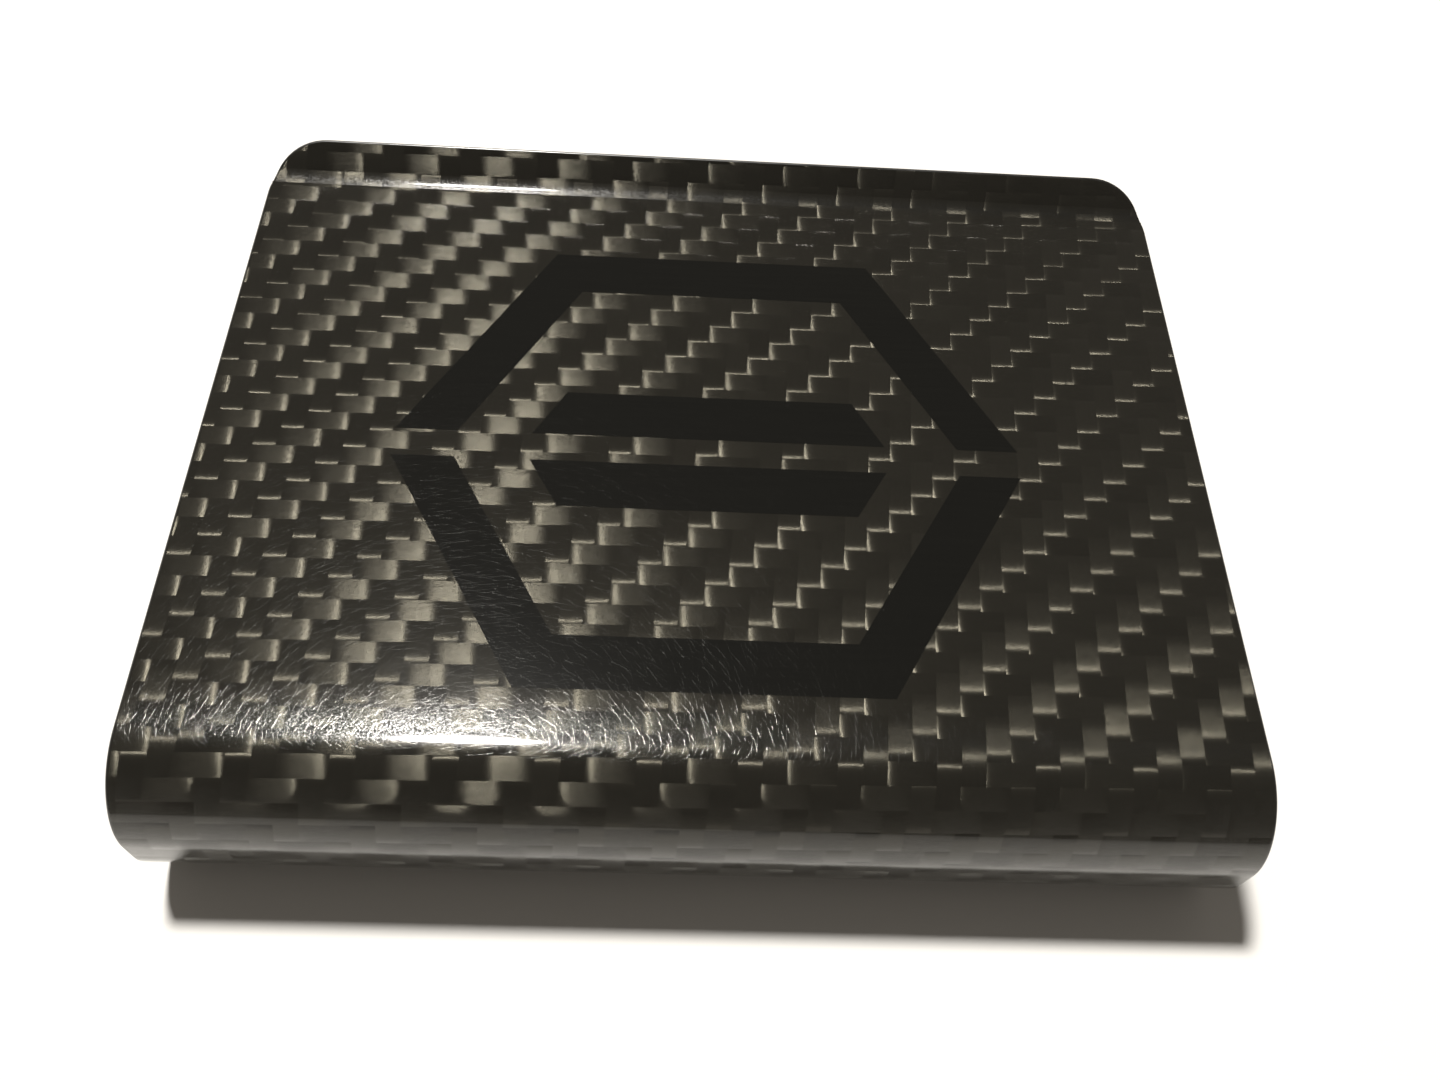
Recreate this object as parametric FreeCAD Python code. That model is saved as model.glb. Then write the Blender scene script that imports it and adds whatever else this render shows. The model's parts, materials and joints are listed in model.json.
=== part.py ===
import FreeCAD, Part
import math
import os

V = FreeCAD.Vector

# Driving sizes of the clip, in millimetres and degrees. Lengths and radii of the
# bent sheet are those of its outer face.
clip_width = 94.0        # across, along the bend
clip_height = 17.4       # from the table to the top face
top_flat = 62.2          # flat of the upper leaf, bend to lip
nose_flat = 2.6          # straight stretch between the two quarter bends
lip_fold_radius = 2.0    # fold that turns the upper lip up
lip_angle = 45.0
lip_length = 3.1
riser_angle = 45.0       # slope of the lower leaf as it rises to the pinch
foot_radius = 11.0       # curve that lifts the lower leaf off the table
crest_radius = 8.0       # curve over which the notes are pinched
flare_angle = 30.0       # lead-in of the lower lip, below level
flare_length = 2.0
pinch_setback = 6.0      # from the start of the upper fold back to the pinch line
pinch_gap = 0.3          # between the leaves, empty clip
corner_radius = 6.0      # far corners of both leaves

# The laminate, from the outer face inwards
coat_thickness = 0.2
ply_thickness = 0.25
core_ply_count = 4

# The emblem, a thin film in the clear coat of the upper leaf
emblem_film = 0.1
emblem_band = 5.0        # width of its frame and bars
emblem_slit = 3.0        # gap between its near and far halves
emblem_inset = 6.0       # weave left between the frame and the bars
emblem_slope = 60.0      # of the frame's slanting sides
side_margin = 16.0       # from the emblem to the clip's sides
near_margin = 4.5        # to the bend
far_margin = 8.7         # to the fold of the lip

hinge_gap = 0.12         # round the knuckle where the leaves meet at the nose
cutter_margin = 5.0      # how far cutting tools run past the sheet

# Worked out from the sizes above
laminate = coat_thickness + (core_ply_count + 2) * ply_thickness
bend_radius = (clip_height - nose_flat) / 2
knuckle_radius = laminate / 2
pinch_rise = clip_height - 2 * laminate - pinch_gap
curve_radii = foot_radius + crest_radius
riser_slope = math.radians(riser_angle)
riser_length = (pinch_rise - curve_radii * (1 - math.cos(riser_slope))) / math.sin(riser_slope)
riser_run = curve_radii * math.sin(riser_slope) + riser_length * math.cos(riser_slope)
lower_flat = top_flat - pinch_setback - riser_run

# Each leaf is one run of stretches from the nose to its lip: ("straight", length)
# or ("curve", radius, angle). A positive angle curls the sheet inwards.
upper_run = [
    ("straight", nose_flat / 2),
    ("curve", bend_radius, 90.0),
    ("straight", top_flat),
    ("curve", lip_fold_radius, -lip_angle),
    ("straight", lip_length),
]
lower_run = [
    ("straight", nose_flat / 2),
    ("curve", bend_radius, 90.0),
    ("straight", lower_flat),
    ("curve", foot_radius, riser_angle),
    ("straight", riser_length),
    ("curve", crest_radius, -(riser_angle + flare_angle)),
    ("straight", flare_length),
]


def direction(degrees):
    """Unit vector in the side view, 0 away from the bend and 90 up."""
    return V(0, math.cos(math.radians(degrees)), math.sin(math.radians(degrees)))


def stations(run, inward):
    """Outer face of a leaf, one list per stretch of (point, inward normal).

    inward is the sense in which the sheet curls: -1 on the upper leaf and +1
    on the lower one.
    """
    point = V(-clip_width / 2, -bend_radius, clip_height / 2)
    heading = -90.0 * inward
    found = []
    for stretch in run:
        normal = direction(heading + 90 * inward)
        if stretch[0] == "straight":
            end = point + direction(heading) * stretch[1]
            found.append([(point, normal), (end, normal)])
            point = end
            continue
        radius, angle = stretch[1:]
        reach = math.copysign(radius, angle)
        centre = point + normal * reach
        places = []
        for share in (0, 0.5, 1):
            out = direction(heading + 90 * inward + angle * inward * share)
            places.append((centre - out * reach, out))
        found.append(places)
        heading += angle * inward
        point = places[-1][0]
    return found


def at_depth(place, depth):
    return place[0] + place[1] * depth


def knuckle_start(depth, radius, sense):
    """Distance from the hinge plane, along the sheet, of the round end at a depth."""
    return sense * math.sqrt(max(radius ** 2 - (depth - laminate / 2) ** 2, 0))


def edge_through(points):
    if len(points) == 2:
        return Part.LineSegment(*points).toShape()
    return Part.Arc(*points).toShape()


def layer_profile(leaf, outer_depth, inner_depth):
    """Side view of one layer of a leaf, with the round end of the stand-in hinge."""
    ahead = direction(-90.0 * leaf["inward"])

    def start_point(depth):
        shift = knuckle_start(depth, leaf["end_radius"], leaf["end_sense"])
        return at_depth(leaf["stations"][0][0], depth) + ahead * shift

    edges = []
    for depth in (outer_depth, inner_depth):
        for number, places in enumerate(leaf["stations"]):
            points = [at_depth(place, depth) for place in places]
            if number == 0:
                points[0] = start_point(depth)
            edges.append(edge_through(points))
    tip = leaf["stations"][-1][-1]
    edges.append(edge_through([at_depth(tip, outer_depth), at_depth(tip, inner_depth)]))
    depths = (outer_depth, (outer_depth + inner_depth) / 2, inner_depth)
    edges.append(edge_through([start_point(depth) for depth in depths]))
    return Part.Face(Part.Wire(Part.__sortEdges__(edges)))


def corner_cutters(leaf):
    """Tools that round the two far corners, square to the sheet of the lip."""
    tip = leaf["stations"][-1][-1][0]
    side = corner_radius + cutter_margin
    reach = side + laminate
    tools = []
    for sense in (1, -1):
        low_x = -corner_radius if sense > 0 else -cutter_margin
        block = Part.makeBox(side, side, 2 * reach, V(low_x, -corner_radius, -reach))
        axis = V(-sense * corner_radius, -corner_radius, -reach)
        tool = block.cut(Part.makeCylinder(corner_radius, 2 * reach, axis))
        tool.rotate(V(0, 0, 0), V(1, 0, 0), leaf["lip_heading"])
        tool.translate(V(sense * clip_width / 2, tip.y, tip.z))
        tools.append(tool)
    return Part.makeCompound(tools)


def layer(leaf, outer_depth, inner_depth):
    body = layer_profile(leaf, outer_depth, inner_depth).extrude(V(clip_width, 0, 0))
    return body.cut(leaf["cutters"])


def leaf_layers(leaf, name):
    """Coat and plies of one leaf, from the outer face inwards."""
    layers = {name + "_clear_coat": layer(leaf, 0, coat_thickness)}
    ply_names = ["face_ply"]
    ply_names += ["core_ply_%d" % (number + 1) for number in range(core_ply_count)]
    ply_names.append("inner_ply")
    for number, ply_name in enumerate(ply_names):
        depth = coat_thickness + number * ply_thickness
        layers[name + "_" + ply_name] = layer(leaf, depth, depth + ply_thickness)
    return layers


def hexagon(distance):
    """The emblem's outline drawn in by a distance on every side, as a film."""
    shrink = distance / math.sin(math.radians(emblem_slope))
    half_length = emblem_half_length - shrink
    half_width = emblem_half_width - distance
    level = half_length - half_width / math.tan(math.radians(emblem_slope))
    corners = []
    for sense in (1, -1):
        corners.append(V(sense * half_length, 0, 0))
        corners.append(V(sense * level, sense * half_width, 0))
        corners.append(V(-sense * level, sense * half_width, 0))
    return Part.Face(Part.makePolygon(corners + corners[:1])).extrude(V(0, 0, emblem_film))


def strip(sense, low, high):
    """Box across the near or far half, between two distances from the middle."""
    corner = V(-emblem_half_length, min(sense * low, sense * high), 0)
    return Part.makeBox(2 * emblem_half_length, high - low, emblem_film, corner)


def emblem_pieces():
    """Frame and bars of the emblem, each in a near and a far half."""
    frame = hexagon(0).cut(hexagon(emblem_band))
    centre = hexagon(emblem_band + emblem_inset)
    slit = emblem_slit / 2
    pieces = {}
    for side, sense in (("near", -1), ("far", 1)):
        pieces["emblem_frame_" + side] = frame.common(strip(sense, slit, emblem_half_width))
        pieces["emblem_bar_" + side] = centre.common(strip(sense, slit, slit + emblem_band))
    for piece in pieces.values():
        piece.translate(V(0, emblem_centre, clip_height - coat_thickness))
    return pieces


emblem_half_length = clip_width / 2 - side_margin
emblem_half_width = (top_flat - near_margin - far_margin) / 2
emblem_centre = near_margin + emblem_half_width

upper = {
    "stations": stations(upper_run, -1),
    "inward": -1,
    "end_radius": knuckle_radius,
    "end_sense": -1,
    "lip_heading": lip_angle,
}
lower = {
    "stations": stations(lower_run, 1),
    "inward": 1,
    "end_radius": knuckle_radius + hinge_gap,
    "end_sense": 1,
    "lip_heading": -flare_angle,
}
for leaf in (upper, lower):
    leaf["cutters"] = corner_cutters(leaf)

nodes = leaf_layers(upper, "upper")
nodes.update(leaf_layers(lower, "lower"))
emblem = emblem_pieces()
pockets = Part.makeCompound(list(emblem.values()))
nodes["upper_clear_coat"] = nodes["upper_clear_coat"].cut(pockets)
nodes.update(emblem)

# The origin is under the middle of the clip, on the table.
far_end = at_depth(upper["stations"][-1][-1], laminate).y
centre_y = (far_end - bend_radius) / 2

os.makedirs("parts", exist_ok=True)
for name, shape in nodes.items():
    shape.translate(V(0, -centre_y, 0))
    solids = shape.Solids
    if len(solids) != 1 or not shape.isValid():
        raise ValueError("%s: %d solids, valid %s" % (name, len(solids), shape.isValid()))
    solids[0].exportStep("parts/%s.step" % name)

print("nodes %d, size %.3f x %.3f x %.3f" % (
    len(nodes), clip_width, far_end + bend_radius, upper["stations"][-1][-1][0].z))
print("hinge at y %.4f, z %.4f" % (knuckle_radius - bend_radius - centre_y, clip_height / 2))
print("bend line at y %.3f, foot %.3f, pinch %.3f, fold %.3f" % tuple(
    y - centre_y for y in (0, lower_flat, top_flat - pinch_setback, top_flat)))
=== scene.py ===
import json
import math

import bmesh
import bpy
from mathutils import Matrix, Vector


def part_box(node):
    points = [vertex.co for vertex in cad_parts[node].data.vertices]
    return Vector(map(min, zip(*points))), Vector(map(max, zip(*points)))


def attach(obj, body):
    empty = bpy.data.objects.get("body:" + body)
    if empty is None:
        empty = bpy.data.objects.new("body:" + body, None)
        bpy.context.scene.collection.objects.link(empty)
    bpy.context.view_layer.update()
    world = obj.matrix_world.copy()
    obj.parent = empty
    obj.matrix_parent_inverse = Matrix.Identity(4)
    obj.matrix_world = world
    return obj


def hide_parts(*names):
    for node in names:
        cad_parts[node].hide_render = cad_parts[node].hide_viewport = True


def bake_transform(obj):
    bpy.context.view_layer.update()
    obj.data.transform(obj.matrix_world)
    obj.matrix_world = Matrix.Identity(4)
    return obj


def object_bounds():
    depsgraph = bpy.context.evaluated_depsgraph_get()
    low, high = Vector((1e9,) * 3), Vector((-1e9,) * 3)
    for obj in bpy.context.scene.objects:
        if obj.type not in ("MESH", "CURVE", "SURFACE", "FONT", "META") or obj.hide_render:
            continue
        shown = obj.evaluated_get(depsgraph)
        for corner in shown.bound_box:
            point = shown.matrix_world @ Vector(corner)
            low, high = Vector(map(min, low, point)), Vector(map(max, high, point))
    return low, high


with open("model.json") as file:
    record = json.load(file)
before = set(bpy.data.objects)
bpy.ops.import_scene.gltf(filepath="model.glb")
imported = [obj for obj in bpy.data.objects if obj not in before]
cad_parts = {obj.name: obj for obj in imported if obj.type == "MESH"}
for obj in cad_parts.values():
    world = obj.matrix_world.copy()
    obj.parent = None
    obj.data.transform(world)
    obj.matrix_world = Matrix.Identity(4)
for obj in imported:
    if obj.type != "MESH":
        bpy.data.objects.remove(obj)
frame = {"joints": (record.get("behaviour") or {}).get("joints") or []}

cadLow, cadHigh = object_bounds()
mm = 0.001
touching = 1e-7                             # metres: a cut this close to a point goes through it
closeBy = 1e-5                              # metres: places closer than this are the same place
sharpTurn = math.radians(36)                # edges that turn more than this look sharp
print("frame loaded")

hinge = Vector(frame["joints"][0]["pos_m"])
halfWidth = cadHigh.x
topFace = 2 * hinge.z                       # the clip lies with its hinge at half height
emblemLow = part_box("emblem_frame_near")[0]
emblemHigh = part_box("emblem_frame_far")[1]

# The bent sheet. Radii and lengths are those of its outer face.
sheet = {
    "bendRadius": 7.4 * mm,
    "noseFlat": 2.6 * mm,
    "topFlat": 62.2 * mm,
    "foldRadius": 2.0 * mm,
    "lipTurn": 45,
    "lipLength": 3.1 * mm,
    "footRadius": 11 * mm,
    "crestRadius": 8 * mm,
    "riserTurn": 45,
    "flareTurn": 30,
    "flareLength": 2 * mm,
    "pinchSetback": 6 * mm,
    "pinchGap": 0.3 * mm,
    "cornerRadius": 6 * mm,
    "cornerSegments": 14,
    "skin": 0.45 * mm,                      # coat and face ply together
    "ply": 0.25 * mm,
    "corePlies": 4,
    "stepTurn": 3,                          # degrees of bend between two rows of faces
    "holdingRing": 0.35 * mm,               # narrow faces that keep the flats flat
    "holdingRow": 0.25 * mm,
    "rimTurn": 57,                          # a rim turns more than this, in degrees
    "rimSegments": 3,
    "skinRimBevel": 0.22 * mm,
    "innerRimBevel": 0.12 * mm,
    "blendMargin": 0.3 * mm,                # a margin clear of both flats
}
sheet["laminate"] = sheet["skin"] + (sheet["corePlies"] + 1) * sheet["ply"]
bendLine = cadLow.y + sheet["bendRadius"]   # where the upper flat starts
foldLine = bendLine + sheet["topFlat"]

riserTurn = math.radians(sheet["riserTurn"])
curveRadii = sheet["footRadius"] + sheet["crestRadius"]
pinchRise = topFace - 2 * sheet["laminate"] - sheet["pinchGap"]
riserLength = (pinchRise - curveRadii * (1 - math.cos(riserTurn))) / math.sin(riserTurn)
riserRun = curveRadii * math.sin(riserTurn) + riserLength * math.cos(riserTurn)
lowerFlat = sheet["topFlat"] - sheet["pinchSetback"] - riserRun

# From the fold to the lip, and from the bend line round the nose to the lower lip.
# A curve is (radius, turn), and its turn is positive where the sheet curls inwards.
lipRun = [(sheet["foldRadius"], -sheet["lipTurn"]), sheet["lipLength"]]
bendRun = [(sheet["bendRadius"], 90), sheet["noseFlat"], (sheet["bendRadius"], 90)]
lowerRun = [
    lowerFlat,
    (sheet["footRadius"], sheet["riserTurn"]),
    riserLength,
    (sheet["crestRadius"], -sheet["riserTurn"] - sheet["flareTurn"]),
    sheet["flareLength"],
]


class Graph:
    def __init__(self, owner, outputKind="ShaderNodeOutputMaterial"):
        owner.use_nodes = True
        self.owner = owner
        self.outputKind = outputKind
        self.tree = owner.node_tree
        self.tree.nodes.clear()

    def node(self, kind, settings=None, sockets=None, output=0):
        made = self.tree.nodes.new(kind)
        for name, value in (settings or {}).items():
            setattr(made, name, value)
        for name, value in (sockets or {}).items():
            if isinstance(value, Wire):
                self.tree.links.new(value.socket, made.inputs[name])
            else:
                made.inputs[name].default_value = value
        return Wire(self, made.outputs[output]) if made.outputs else None

    def vector(self, x, y, z=0.0):
        return self.node("ShaderNodeCombineXYZ", {}, {"X": x, "Y": y, "Z": z})

    def noise(self, vector, scale, detail=2.0, roughness=0.5):
        sockets = {"Vector": vector, "Scale": scale, "Detail": detail, "Roughness": roughness}
        return self.node("ShaderNodeTexNoise", {}, sockets)

    def grain(self, vector):
        return self.node("ShaderNodeTexWhiteNoise", {"noise_dimensions": "3D"}, {"Vector": vector})

    def finish(self, shader):
        self.node(self.outputKind, {}, {"Surface": shader})
        return self.owner


class Wire:
    def __init__(self, graph, socket):
        self.graph = graph
        self.socket = socket

    def math(self, operation, *others):
        sockets = dict(enumerate((self,) + others))
        return self.graph.node("ShaderNodeMath", {"operation": operation}, sockets)

    def flipped(self, operation, first):
        return self.graph.node("ShaderNodeMath", {"operation": operation}, {0: first, 1: self})

    def part(self, axis):
        names = {"x": 0, "y": 1, "z": 2}
        return self.graph.node("ShaderNodeSeparateXYZ", {}, {0: self}, names[axis])

    def __add__(self, other):
        return self.math("ADD", other)

    def __sub__(self, other):
        return self.math("SUBTRACT", other)

    def __rsub__(self, other):
        return self.flipped("SUBTRACT", other)

    def __mul__(self, other):
        return self.math("MULTIPLY", other)

    def __truediv__(self, other):
        return self.math("DIVIDE", other)

    def __mod__(self, other):
        return self.math("FLOORED_MODULO", other)

    def __pow__(self, other):
        return self.math("POWER", other)

    def __lt__(self, other):
        return self.math("LESS_THAN", other)

    def __gt__(self, other):
        return self.math("GREATER_THAN", other)

    def floor(self):
        return self.math("FLOOR")

    def size(self):
        return self.math("ABSOLUTE")

    def choose(self, other, mask):
        return self + (other - self) * mask      # self where mask is 0, other where it is 1

    __radd__ = __add__
    __rmul__ = __mul__


def newGraph(name):
    return Graph(bpy.data.materials.new(name))


twill = {
    "warpPitch": 2.025 * mm,        # from one tow to the next
    "weftPitch": 1.987 * mm,
    "warpStart": 3.583,             # in tows, at the clip's middle
    "weftStart": 0.611,
    "weftSkew": 7.95,               # tows per metre that the cloth runs off square
    "warpSkew": 34.4,
    "waver": 0.04,                  # how far tow edges wander, in tows
    "waverScale": 150,              # and how often, in times per metre
    "weftArch": (0.02, 0.18),       # slope along a float: steady part, and part at its ends
    "warpArch": (0.02, 0.24),
    "warpLean": 0.03,               # the warp floats rise a little towards the far end,
    "warpTwist": 0.6,               # and less so to the right (slope per metre)
    "crossArch": 0.1,               # slope across a tow, from its middle to its edge
    "towTilt": 0.035,               # how much whole floats differ in slope
    "slant": 0.07,                  # how far a weft float's light spot leans across the tow
    "roundEnd": 0.04,               # how much sooner a float dives at the edges of its tow
    "weftFilament": (0.5, 0.5),     # slopes across the fibres: usual, and in the tail
    "warpFilament": (0.75, 0.25),
    "endDraw": 0.52,                # how much smaller they are at the ends of a float
    "grainSize": 0.004 * mm,        # a patch this small has one slope
    "streakWidth": 0.1 * mm,        # bundles of fibres within a tow
    "streakLength": 2.2 * mm,
    "streakSlope": 0.2,
    "foldEase": 0.62,               # share of the fold's turn that the fibres don't follow
    "plainShade": 0.85,
    "streakShade": 0.5,
    "ownShade": 0.3,                # how much whole floats differ in shade
    "fibreColour": (0.0105, 0.0098, 0.0078),
    "fibreTint": (1.0, 0.93, 0.73, 1),
    "level": 0.3,
    "roughness": 0.2,
    "coat": 1.0,
    "coatIor": 1.43,
    "coatRoughness": 0.045,
}


def foldEase(v, share):
    # Slope that takes back a share of the turn within the fold.
    turn = math.radians(sheet["lipTurn"])
    length = sheet["foldRadius"] * turn
    place = (v - foldLine - length / 2) / length
    return place * (place.size() < 0.5) * (share * turn)


def weaveSlopes(graph, u, v, look):
    # Slopes of the fibre surface along u and v, and the shades of streaks and of whole floats.
    waver = graph.noise(graph.vector(u, v), look["waverScale"], 1.0) - 0.5
    waverToo = graph.noise(graph.vector(v, u, 0.3), look["waverScale"], 1.0) - 0.5
    p = u / look["warpPitch"] + waver * (look["waver"] * 2) + look["warpStart"]
    p = p - v * look["warpSkew"]
    q = v / look["weftPitch"] + waverToo * (look["waver"] * 2) + look["weftStart"]
    q = q - u * look["weftSkew"]
    column = p.floor()
    row = q.floor()
    weftUp = (column - row) % 4 < 1.5
    weftAlong = (p - row) % 4 - 1
    warpAlong = (q - column + 3) % 4 - 1
    weftAcross = (q - row) * 2 - 1
    warpAcross = (p - column) * 2 - 1
    across = warpAcross.choose(weftAcross, weftUp)

    along = warpAlong.choose(weftAlong + weftAcross * look["slant"], weftUp)
    dive = (along.size() + across ** 4 * look["roundEnd"]) ** 3
    weftSteady, weftEnds = look["weftArch"]
    warpSteady, warpEnds = look["warpArch"]
    ends = weftUp * (weftEnds - warpEnds) + warpEnds
    steady = weftUp * (weftSteady - warpSteady) + warpSteady
    lean = u * -look["warpTwist"] + look["warpLean"]
    slopeAlong = along * (dive * ends + steady) + (1 - weftUp) * lean

    # Each float has its own random number, so that neighbours differ a little.
    weftFloat = ((p - row) / 4).floor()
    warpFloat = ((q - column + 3) / 4).floor()
    tow = column.choose(row, weftUp)
    number = warpFloat.choose(weftFloat, weftUp)
    own = graph.grain(graph.vector(tow + 0.5, number + 0.5, weftUp + 0.5))
    slopeAlong = slopeAlong + (own - 0.5) * look["towTilt"]

    lengthwise = v.choose(u, weftUp)
    crosswise = u.choose(v, weftUp)
    streakPlace = graph.vector(lengthwise / look["streakLength"], crosswise / look["streakWidth"], tow)
    streak = graph.noise(streakPlace, 1.0, 2.0, 0.6) - 0.5
    fine = graph.vector(u / look["grainSize"], v / look["grainSize"], 0.5)
    grain = graph.grain(fine) * 2 - 1
    weftUsual, weftTail = look["weftFilament"]
    warpUsual, warpTail = look["warpFilament"]
    tail = weftUp * (weftTail - warpTail) + warpTail
    usual = weftUp * (weftUsual - warpUsual) + warpUsual
    drawn = 1 - (along.size() ** 3).math("MINIMUM", 1.0) * look["endDraw"]
    filament = grain * (grain * grain * tail + usual) * drawn
    slopeAcross = filament + streak * (look["streakSlope"] * 2) + across * look["crossArch"]
    slopeU = slopeAcross.choose(slopeAlong, weftUp)
    slopeV = slopeAlong.choose(slopeAcross, weftUp) + foldEase(v, look["foldEase"])
    return slopeU, slopeV, streak, own


def normalFrom(graph, slopeU, slopeV):
    # A normal map holds each slope as a colour, with 0.5 for level.
    colour = graph.vector(slopeU * 0.5 + 0.5, slopeV * 0.5 + 0.5, 1.0)
    settings = {"space": "TANGENT", "uv_map": "run"}
    return graph.node("ShaderNodeNormalMap", settings, {"Strength": 1.0, "Color": colour})


def runPlace(graph):
    run = graph.node("ShaderNodeUVMap", {"uv_map": "run"})
    return run.part("x"), run.part("y")


wear = {
    "directions": 9,
    "lane": 0.28 * mm,              # one scratch at most in each lane and length
    "length": 2.6 * mm,
    "halfWidth": 0.007 * mm,
    "bow": 0.9,                     # how much scratches curve
    "share": 0.8,                   # of places that hold a scratch
    "strength": 0.8,
    "elsewhere": 0.05,              # the same off the rubbed bands
    "spread": 0.16,                 # slopes across a scratch
    "grooveColour": (0.12, 0.12, 0.115, 1),
    "roughness": 0.14,
    "bandMiddle": 0.7 * mm,         # how far past their lines the bend and the fold are rubbed most
    "bandWidth": 4 * mm,            # where the bend is rubbed, to each side of that middle
    "bandHaze": 0.5,
    "bandSlope": 0.4,
    "foldBand": 1.0 * mm,           # the same for the fold of the lip
    "foldHaze": 0.8,
    "foldSlope": 0.6,
    "foldSide": 0.2,                # share of that slope that runs along the fold
    "foldEase": 0.8,                # share of the fold's turn that the haze doesn't follow
    "haze": 0.03,                   # everywhere
    "hazeColour": (0.012, 0.012, 0.011, 1),
    "hazeRoughness": 0.19,
    "speck": 0.15 * mm,
    "speckContrast": 5,             # how sharply specks come and go
    "betweenSpecks": 0.1,           # share of the haze that is left there
}


def scratchLayer(graph, u, v, number):
    # One layer's scratches run one way. Its odd shifts keep layers and lanes from lining up.
    angle = math.pi * (number + 0.37) / wear["directions"]
    cosine, sine = math.cos(angle), math.sin(angle)
    lane = wear["lane"] * (1 + 0.13 * number)
    along = (u * cosine + v * sine) / wear["length"] + 0.29 * number
    across = (v * cosine - u * sine) / lane + 0.41 * number
    laneNumber = across.floor()
    along = along + laneNumber * 0.37
    cell = graph.vector(laneNumber + 0.5, along.floor() + 0.5, number + 0.5)
    chance = graph.node("ShaderNodeTexWhiteNoise", {"noise_dimensions": "3D"}, {"Vector": cell}, 1)
    place, held, reach = (chance.part(axis) for axis in "xyz")
    middle = along - along.floor() - 0.5
    bow = middle * middle * (held - 0.2) * (wear["bow"] * 4)
    off = (across - laneNumber - place * 0.7 - 0.15 - bow).size() * lane
    mark = (off < wear["halfWidth"]) * (held < wear["share"]) * (middle.size() < reach * 0.45)
    return mark, -sine, cosine


def wornCoat(graph, u, v, shader):
    # Haze of fine wear, rough specks along the bend and the fold, and scratches, over any shader.
    fine = graph.vector(v / twill["grainSize"], u / twill["grainSize"], 0.25)
    grain = (graph.grain(fine) * 2 - 1) * wear["spread"]
    marks = None
    for number in range(wear["directions"]):
        mark, slopeU, slopeV = scratchLayer(graph, u, v, number)
        if marks is None:
            marks, marksU, marksV = mark, mark * slopeU, mark * slopeV
        else:
            marks = marks.math("MAXIMUM", mark)
            marksU = marksU + mark * slopeU
            marksV = marksV + mark * slopeV
    fold = (1 - (v - foldLine - wear["bandMiddle"]).size() / wear["foldBand"]).math("MAXIMUM", 0.0)
    band = (1 - (v - bendLine - wear["bandMiddle"]).size() / wear["bandWidth"]).math("MAXIMUM", 0.0)
    specks = graph.noise(graph.vector(u, v), 1 / wear["speck"], 2.0, 0.6) - 0.5
    specksToo = graph.noise(graph.vector(v, u, 0.7), 1 / wear["speck"], 2.0, 0.6) - 0.5
    slopeU = specks * (fold * (wear["foldSlope"] * wear["foldSide"]) + band * wear["bandSlope"])
    slopeV = specksToo * (fold * wear["foldSlope"] + band * wear["bandSlope"])
    slopeV = slopeV + foldEase(v, wear["foldEase"])
    speckled = (specks * wear["speckContrast"] + 0.5).math("MAXIMUM", wear["betweenSpecks"])
    speckled = speckled.math("MINIMUM", 1.0)
    haze = graph.node("ShaderNodeBsdfPrincipled", {}, {
        "Base Color": wear["hazeColour"],
        "Roughness": wear["hazeRoughness"],
        "Normal": normalFrom(graph, slopeU, slopeV),
    })
    rubbed = fold * wear["foldHaze"] + band ** 3 * wear["bandHaze"]
    hazeShare = rubbed * speckled + wear["haze"]
    worn = graph.node("ShaderNodeMixShader", {}, {0: hazeShare, 1: shader, 2: haze})
    groove = graph.node("ShaderNodeBsdfPrincipled", {}, {
        "Base Color": wear["grooveColour"],
        "Metallic": 1.0,
        "Roughness": wear["roughness"],
        "Normal": normalFrom(graph, marksU * grain, marksV * grain),
    })
    scratched = marks * (band + wear["elsewhere"]) * wear["strength"]
    return graph.node("ShaderNodeMixShader", {}, {0: scratched, 1: worn, 2: groove})


def twillFinish(name, look, worn):
    graph = newGraph(name)
    u, v = runPlace(graph)
    slopeU, slopeV, streak, own = weaveSlopes(graph, u, v, look)
    shade = streak * look["streakShade"] + own * look["ownShade"] + look["plainShade"]
    red, green, blue = look["fibreColour"]
    cloth = graph.node("ShaderNodeBsdfPrincipled", {}, {
        "Base Color": graph.vector(shade * red, shade * green, shade * blue),
        "Roughness": look["roughness"],
        "Specular IOR Level": look["level"],
        "Specular Tint": look["fibreTint"],
        "Coat Weight": look["coat"],
        "Coat IOR": look["coatIor"],
        "Coat Roughness": look["coatRoughness"],
        "Normal": normalFrom(graph, slopeU, slopeV),
    })
    return graph.finish(wornCoat(graph, u, v, cloth) if worn else cloth)


cutEdge = {
    "endOn": (0.011, 0.0105, 0.0095),
    "lengthwise": (0.034, 0.032, 0.028),
    "dash": (600, 600, 2600),       # the cut fibres lie as short level dashes
    "darkest": 0.1,
    "contrast": 1.8,
    "smoothest": 0.15,
    "unevenness": 0.4,
    "coat": 0.5,
    "coatRoughness": 0.15,
}


def cutEdgeFinish(name, colour):
    graph = newGraph(name)
    place = graph.node("ShaderNodeTexCoord", {}, {}, output=3)
    across, along, up = cutEdge["dash"]
    dashPlace = graph.vector(place.part("x") * across, place.part("y") * along, place.part("z") * up)
    dashes = graph.noise(dashPlace, 1.0, 3.0, 0.7)
    red, green, blue = colour
    shade = dashes * cutEdge["contrast"] + cutEdge["darkest"]
    edge = graph.node("ShaderNodeBsdfPrincipled", {}, {
        "Base Color": graph.vector(shade * red, shade * green, shade * blue),
        "Roughness": dashes * cutEdge["unevenness"] + cutEdge["smoothest"],
        "Coat Weight": cutEdge["coat"],
        "Coat Roughness": cutEdge["coatRoughness"],
    })
    return graph.finish(edge)


emblemLook = {
    "colour": (0.004, 0.004, 0.0033),
    "streaks": (120, 4000),         # faint and fine, along the film
    "darkest": 0.5,
    "level": 0.02,
    "smoothest": 0.6,
    "unevenness": 0.2,
}


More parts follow.
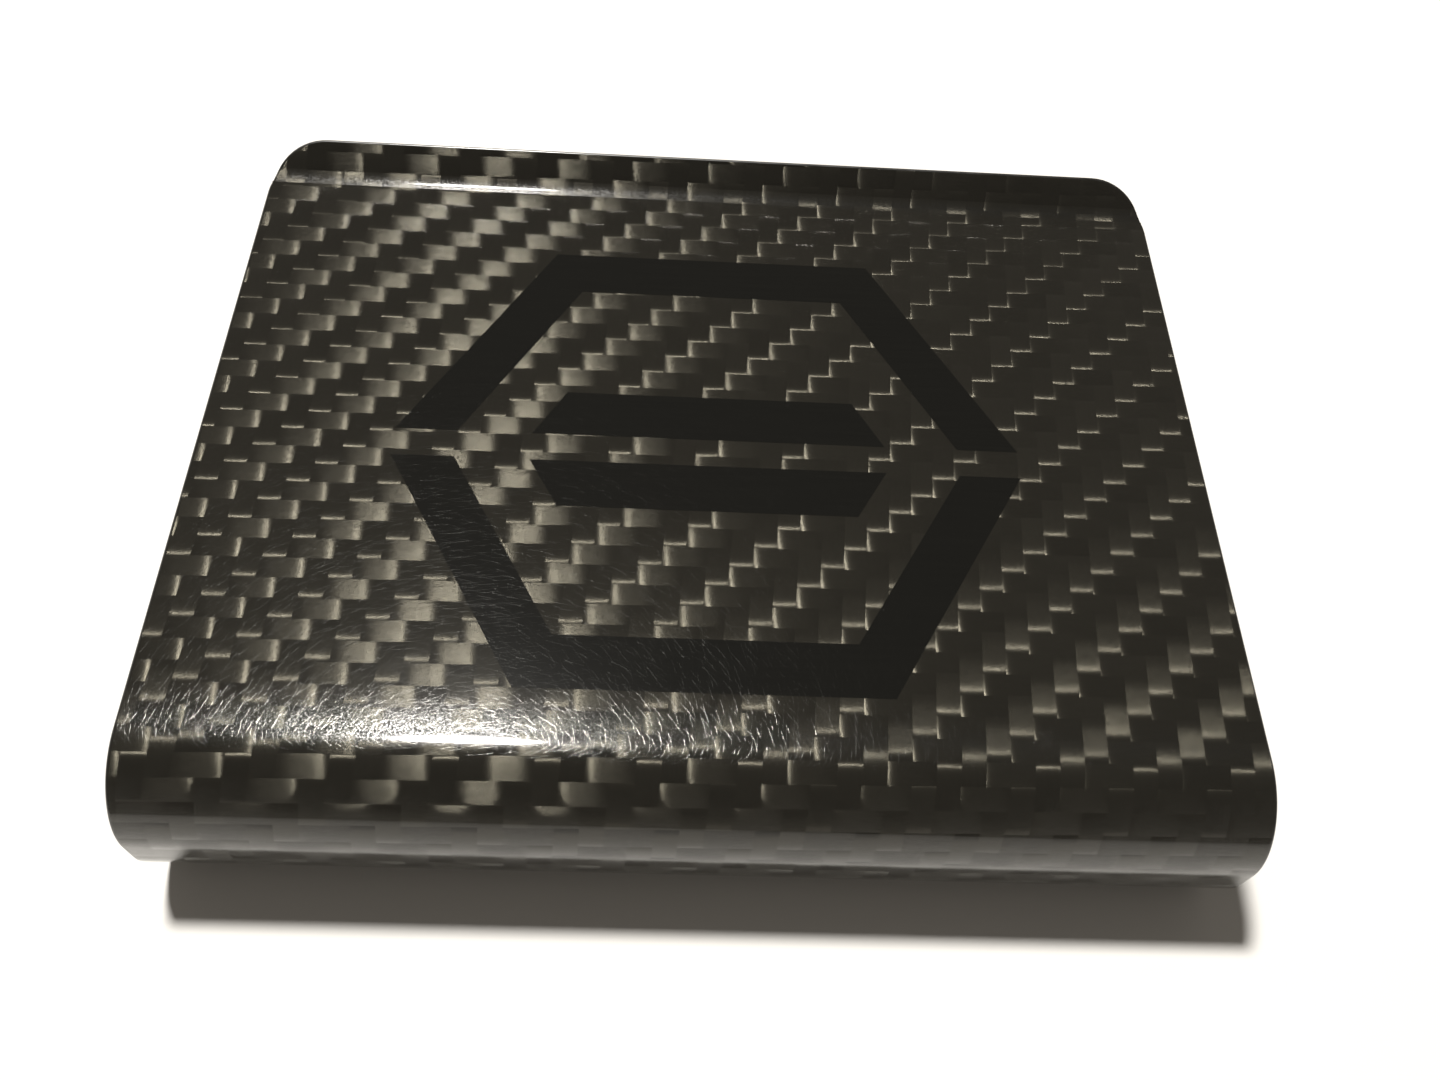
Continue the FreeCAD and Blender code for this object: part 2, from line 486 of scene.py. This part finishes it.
def emblemFinish():
    graph = newGraph("matteEmblemFilm")
    u, v = runPlace(graph)
    lengthwise, crosswise = emblemLook["streaks"]
    streak = graph.noise(graph.vector(u * lengthwise, v * crosswise), 1.0, 3.0, 0.6)
    red, green, blue = emblemLook["colour"]
    shade = streak + emblemLook["darkest"]
    film = graph.node("ShaderNodeBsdfPrincipled", {}, {
        "Base Color": graph.vector(shade * red, shade * green, shade * blue),
        "Roughness": streak * emblemLook["unevenness"] + emblemLook["smoothest"],
        "Specular IOR Level": emblemLook["level"],
        "Coat Weight": 1.0,
        "Coat IOR": twill["coatIor"],
        "Coat Roughness": twill["coatRoughness"],
    })
    return graph.finish(wornCoat(graph, u, v, film))


outerTwill = twillFinish("outerTwill", twill, True)
innerTwill = twillFinish("innerTwill", {**twill, "coat": 0.35, "coatRoughness": 0.3}, False)
endOnEdge = cutEdgeFinish("fibresCutEndOn", cutEdge["endOn"])
lengthwiseEdge = cutEdgeFinish("fibresCutLengthwise", cutEdge["lengthwise"])
filmFinish = emblemFinish()
print("finishes made")


def creasesAlong(run, start, sense, depth):
    # Crease lines of a run, as (place on the flat sheet, turn), and where the run ends.
    creases = []
    place = start
    for stretch in run:
        if not isinstance(stretch, tuple):
            place += sense * stretch
            continue
        radius, turn = stretch
        layerRadius = radius - math.copysign(depth, turn)
        steps = math.ceil(abs(turn) / sheet["stepTurn"])
        step = turn / steps
        chord = 2 * layerRadius * math.sin(math.radians(abs(step)) / 2)
        for number in range(steps + 1):
            share = 0.5 if number in (0, steps) else 1
            creases.append((place, step * share * -sense))
            place += sense * chord if number < steps else 0
    return creases, place


def cutAcross(bm, place, outward=1, clear=False):
    # A cut from side to side. With clear, what lies beyond it in the outward sense is dropped.
    geometry = bm.verts[:] + bm.edges[:] + bm.faces[:]
    bmesh.ops.bisect_plane(bm, geom=geometry, dist=touching, plane_co=(0, place, 0),
                           plane_no=(0, outward, 0), clear_outer=clear)


def insetFaces(bm, faces, thickness):
    bmesh.ops.inset_region(bm, faces=faces, thickness=thickness,
                           use_boundary=True, use_even_offset=True)


def keepRun(bm):
    # The flat sheet's own places become the UV map that its cloth is drawn on.
    run = bm.loops.layers.uv.new("run")
    for face in bm.faces:
        for loop in face.loops:
            loop[run].uv = loop.vert.co.xy


def flatSheet(low, high, depth, roundLow, roundHigh):
    bm = bmesh.new()
    bmesh.ops.create_grid(bm, x_segments=1, y_segments=1, size=0.5)
    bmesh.ops.scale(bm, vec=(2 * halfWidth, high - low, 1), verts=bm.verts)
    bmesh.ops.translate(bm, vec=(0, (high + low) / 2, topFace - depth), verts=bm.verts)
    ends = [low] * roundLow + [high] * roundHigh
    corners = [c for c in bm.verts if any(abs(c.co.y - end) < closeBy for end in ends)]
    bmesh.ops.bevel(bm, geom=corners, offset=sheet["cornerRadius"], segments=sheet["cornerSegments"],
                    profile=0.5, affect="VERTICES", material=-1)
    insetFaces(bm, bm.faces[:], sheet["holdingRing"])
    return bm


def foldSheet(bm, creases):
    # Turns everything beyond each crease, from the outermost crease inwards.
    flat = {point: point.co.y for point in bm.verts}
    level = bm.verts[:][0].co.z
    for sense in (1, -1):
        outward = [c for c in creases if c[2] == sense]
        for place, turn, side in reversed(outward):
            beyond = [p for p, y in flat.items() if (y - place) * side > -touching]
            turned = Matrix.Rotation(math.radians(turn), 3, "X")
            bmesh.ops.rotate(bm, cent=(0, place, level), matrix=turned, verts=beyond)


def holdingRows(creases, low, high):
    # Rows that keep the flats flat, just clear of the bends.
    places = sorted(c[0] for c in creases)
    rows = []
    gap = 2 * sheet["holdingRow"]
    for before, after in zip([low] + places, places + [high]):
        if after - before > 2 * gap:
            rows += [before + sheet["holdingRow"], after - sheet["holdingRow"]]
    return [r for r in rows if low + gap < r < high - gap]


def makeLayer(name, leaf, depth, thickness, materials, outerBevel=0.0, innerBevel=0.0):
    lipCreases, lipEnd = creasesAlong(lipRun, foldLine, 1, depth)
    bendCreases, seam = creasesAlong(bendRun, bendLine, -1, depth)
    lowerCreases, lowerEnd = creasesAlong(lowerRun, seam, -1, depth)
    creases = [(p, t, 1) for p, t in lipCreases]
    creases += [(p, t, -1) for p, t in bendCreases + lowerCreases]
    if leaf == "upper":
        low, high, rounded = seam, lipEnd, (False, True)
    else:
        low, high, rounded = lowerEnd, seam, (True, False)
    bm = flatSheet(low, high, depth, *rounded)
    inside = [c for c in creases if low + closeBy < c[0] < high - closeBy]
    for place in [c[0] for c in inside] + holdingRows(inside, low, high):
        cutAcross(bm, place)
    keepRun(bm)
    foldSheet(bm, creases)
    outer = set(bm.verts)
    bmesh.ops.solidify(bm, geom=bm.faces[:], thickness=thickness)
    rimEdges(bm, outer, outerBevel, innerBevel)
    return finishMesh(name, bm, materials)


def rimEdges(bm, outer, outerBevel, innerBevel):
    # Gives each side its finish and rounds the rims, but not the cut where the leaves meet.
    def onSeam(edge):
        return all(abs(p.co.y - bendLine) < closeBy and p.co.z < hinge.z for p in edge.verts)

    rimTurn = math.radians(sheet["rimTurn"])
    sharp = [e for e in bm.edges if len(e.link_faces) == 2 and e.calc_face_angle() > rimTurn]
    sharp = [e for e in sharp if not onSeam(e)]
    outerRim = [e for e in sharp if all(p in outer for p in e.verts)]
    innerRim = [e for e in sharp if not any(p in outer for p in e.verts)]
    for face in bm.faces:
        face.material_index = 0 if all(p in outer for p in face.verts) else 1
        if not any(p in outer for p in face.verts):
            face.material_index = 2
    for rim, offset in ((outerRim, outerBevel), (innerRim, innerBevel)):
        if offset:
            bmesh.ops.bevel(bm, geom=rim, offset=offset, segments=sheet["rimSegments"], profile=0.5,
                            affect="EDGES", material=1)


def finishMesh(name, bm, materials):
    for face in bm.faces:
        face.smooth = True
    for edge in bm.edges:
        edge.smooth = len(edge.link_faces) == 2 and edge.calc_face_angle() < sharpTurn
    mesh = bpy.data.meshes.new(name)
    bm.to_mesh(mesh)
    bm.free()
    for material in materials:
        mesh.materials.append(material)
    piece = bpy.data.objects.new(name, mesh)
    bpy.context.scene.collection.objects.link(piece)
    return piece


def fixLayer(piece, leaf, slot, *nodes):
    if leaf == "upper":
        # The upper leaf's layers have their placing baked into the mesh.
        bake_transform(piece)
    else:
        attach(piece, "lower_leaf")
    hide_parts(*nodes)


for leaf in ("upper", "lower"):
    skinMaterials = (outerTwill, endOnEdge, endOnEdge)
    skinPiece = makeLayer(leaf + "Face", leaf, 0, sheet["skin"], skinMaterials, sheet["skinRimBevel"])
    fixLayer(skinPiece, leaf, "carbon_twill", leaf + "_clear_coat", leaf + "_face_ply")
    for number in range(sheet["corePlies"]):
        depth = sheet["skin"] + number * sheet["ply"]
        plyName = "%sCorePly%d" % (leaf, number + 1)
        plyEdge = endOnEdge if number % 2 else lengthwiseEdge
        ply = makeLayer(plyName, leaf, depth, sheet["ply"], (plyEdge,) * 3)
        fixLayer(ply, leaf, "carbon_core", "%s_core_ply_%d" % (leaf, number + 1))
    depth = sheet["laminate"] - sheet["ply"]
    innerMaterials = (lengthwiseEdge, lengthwiseEdge, innerTwill)
    inner = makeLayer(leaf + "Inner", leaf, depth, sheet["ply"], innerMaterials,
                      0, sheet["innerRimBevel"])
    fixLayer(inner, leaf, "carbon_inner_twill", leaf + "_inner_ply")
print("sheets made")


emblem = {
    "band": 5 * mm,
    "inset": 6 * mm,                # from the frame to the bars
    "slit": 3 * mm,                 # between the near half and the far half
    "proud": 0.012 * mm,            # how far the film stands over the face
    "sink": 0.05 * mm,              # and how far it reaches into it
}


def hexagonSheet():
    # A hexagon with a point at the left and the right, cut level at its near and far sides.
    bm = bmesh.new()
    halfLength = (emblemHigh.x - emblemLow.x) / 2
    halfDepth = (emblemHigh.y - emblemLow.y) / 2
    upright = Matrix.Rotation(math.radians(90), 4, "Z")
    bmesh.ops.create_circle(bm, cap_ends=True, radius=halfLength, segments=6, matrix=upright)
    for sense in (1, -1):
        cutAcross(bm, sense * halfDepth, sense, clear=True)
    return bm


def emblemPiece(name, side, bar):
    # The hexagon is inset twice: frame, gap and centre. Then all but this piece is cut away.
    bm = hexagonSheet()
    whole = bm.faces[:]
    insetFaces(bm, whole, emblem["band"])
    if bar:
        insetFaces(bm, whole, emblem["inset"])
        others = [f for f in bm.faces if f not in whole]
        bmesh.ops.delete(bm, geom=others, context="FACES")
    else:
        bmesh.ops.delete(bm, geom=whole, context="FACES")
    cuts = [(emblem["slit"] / 2, -side)]
    if bar:
        cuts.append((emblem["slit"] / 2 + emblem["band"], side))
    for distance, outward in cuts:
        cutAcross(bm, side * distance, outward, clear=True)
    loose = [p for p in bm.verts if not p.link_faces]
    bmesh.ops.delete(bm, geom=loose, context="VERTS")
    centre = (emblemLow + emblemHigh) / 2
    place = (centre.x, centre.y, topFace + emblem["proud"])
    bmesh.ops.translate(bm, vec=place, verts=bm.verts)
    bmesh.ops.recalc_face_normals(bm, faces=bm.faces)
    if bm.faces[:][0].normal.z < 0:
        bmesh.ops.reverse_faces(bm, faces=bm.faces)
    keepRun(bm)
    bmesh.ops.solidify(bm, geom=bm.faces[:], thickness=emblem["proud"] + emblem["sink"])
    return finishMesh(name, bm, [filmFinish])


for side, sideName in ((-1, "Near"), (1, "Far")):
    for bar, kind in ((False, "Frame"), (True, "Bar")):
        piece = emblemPiece("emblem" + kind + sideName, side, bar)
        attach(piece, "upper_leaf")
        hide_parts("emblem_%s_%s" % (kind.lower(), sideName.lower()))
print("emblem made")


studio = {
    "floorSize": 1.5,
    "floorColour": (0.8, 0.79, 0.77),
    "mottle": 0.02,
    "mottleScale": 60,
    "lampDirection": (-0.17, 0.27, 0.95),
    "lampDistance": 1.0,
    "lampWidth": 0.12,
    "lampPower": 14.5,
    "lampColour": (1.0, 0.97, 0.92),
    "roomColour": (0.15, 0.137, 0.12, 1),          # what the gloss reflects
    "backdropColour": (0.9, 0.9, 0.89, 1),         # what shows beyond the floor
}
view = {
    "place": (-3.575 * mm, -68.286 * mm, 110.612 * mm),
    "turn": (31.821, -3.17, 0.493),
    "lens": 30.75,
    "sensor": 36,
    "nearest": 5 * mm,              # nothing closer is shown
}


def makeFloor():
    graph = newGraph("paleFloor")
    place = graph.node("ShaderNodeTexCoord", {}, {}, output=3)
    mottle = graph.noise(place, studio["mottleScale"], 3.0) - 0.5
    shade = mottle * studio["mottle"] + 1
    red, green, blue = studio["floorColour"]
    paint = graph.node("ShaderNodeBsdfPrincipled", {}, {
        "Base Color": graph.vector(shade * red, shade * green, shade * blue),
        "Roughness": 0.9,
        "Specular IOR Level": 0.1,
    })
    bm = bmesh.new()
    bmesh.ops.create_grid(bm, x_segments=1, y_segments=1, size=studio["floorSize"])
    floor = finishMesh("floor", bm, [graph.finish(paint)])


def makeLamp():
    direction = Vector(studio["lampDirection"]).normalized()
    data = bpy.data.lights.new("lamp", "AREA")
    data.shape = "DISK"
    data.size = studio["lampWidth"]
    data.energy = studio["lampPower"]
    data.color = studio["lampColour"]
    lamp = bpy.data.objects.new("lamp", data)
    lamp.location = direction * studio["lampDistance"]
    lamp.rotation_mode = "QUATERNION"
    lamp.rotation_quaternion = direction.to_track_quat("Z", "Y")
    bpy.context.scene.collection.objects.link(lamp)


def makeRoom():
    room = bpy.data.worlds.new("room")
    bpy.context.scene.world = room
    graph = Graph(room, "ShaderNodeOutputWorld")
    seen = graph.node("ShaderNodeLightPath")          # its first output is 1 for camera rays
    dim = graph.node("ShaderNodeBackground", {}, {"Color": studio["roomColour"]})
    pale = graph.node("ShaderNodeBackground", {}, {"Color": studio["backdropColour"]})
    graph.finish(graph.node("ShaderNodeMixShader", {}, {0: seen, 1: dim, 2: pale}))


def makeCamera():
    data = bpy.data.cameras.new("camera")
    data.lens = view["lens"]
    data.sensor_width = view["sensor"]
    data.clip_start = view["nearest"]
    camera = bpy.data.objects.new("camera", data)
    camera.location = view["place"]
    camera.rotation_euler = [math.radians(a) for a in view["turn"]]
    bpy.context.scene.collection.objects.link(camera)
    bpy.context.scene.camera = camera


makeFloor()
makeLamp()
makeRoom()
makeCamera()
bpy.context.scene.view_settings.view_transform = "Standard"
print("studio made")
